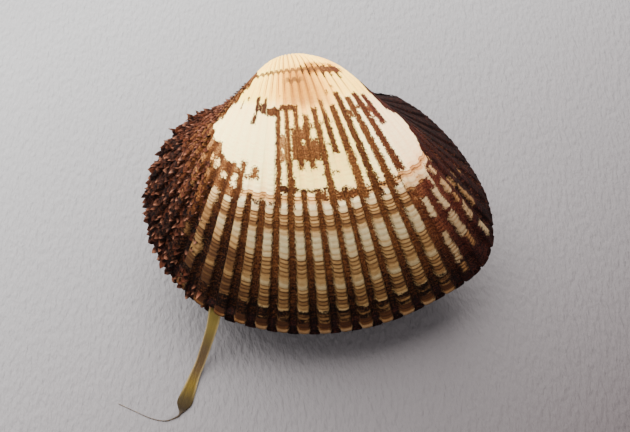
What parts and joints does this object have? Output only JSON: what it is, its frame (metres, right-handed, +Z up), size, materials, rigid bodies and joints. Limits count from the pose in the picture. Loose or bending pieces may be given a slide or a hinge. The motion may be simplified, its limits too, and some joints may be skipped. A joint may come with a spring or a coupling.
{
  "type": "ark shell",
  "caption": "Closed ribbed ark shell lying on its right valve, worn white at the beak and brown with scaly skin at the ends, with a strap of byssus trailing from the gape.",
  "frame": {"origin": "centre of the bottom of the bounding box, on the surface that the shell and the end of its byssus lie on", "axes": "+Z up; +X from the front end of the shell to its back end, along the hinge; +Y towards the hinge and the beaks, away from the edge that the byssus leaves"},
  "size_m": [0.0538, 0.046, 0.0295],
  "materials": {
    "worn_shell": "satin chalky shell, white where it is worn, with brown skin in the furrows",
    "dark_shell": "satin chalky shell under dark brown papery skin",
    "ligament": "dull horny",
    "byssus": "dull fibrous, slightly see-through at the edges"
  },
  "bodies": {
    "root": {"left_valve": "worn_shell", "right_valve": "dark_shell", "ligament": "ligament", "byssus": "byssus"}
  },
  "joints": []
}
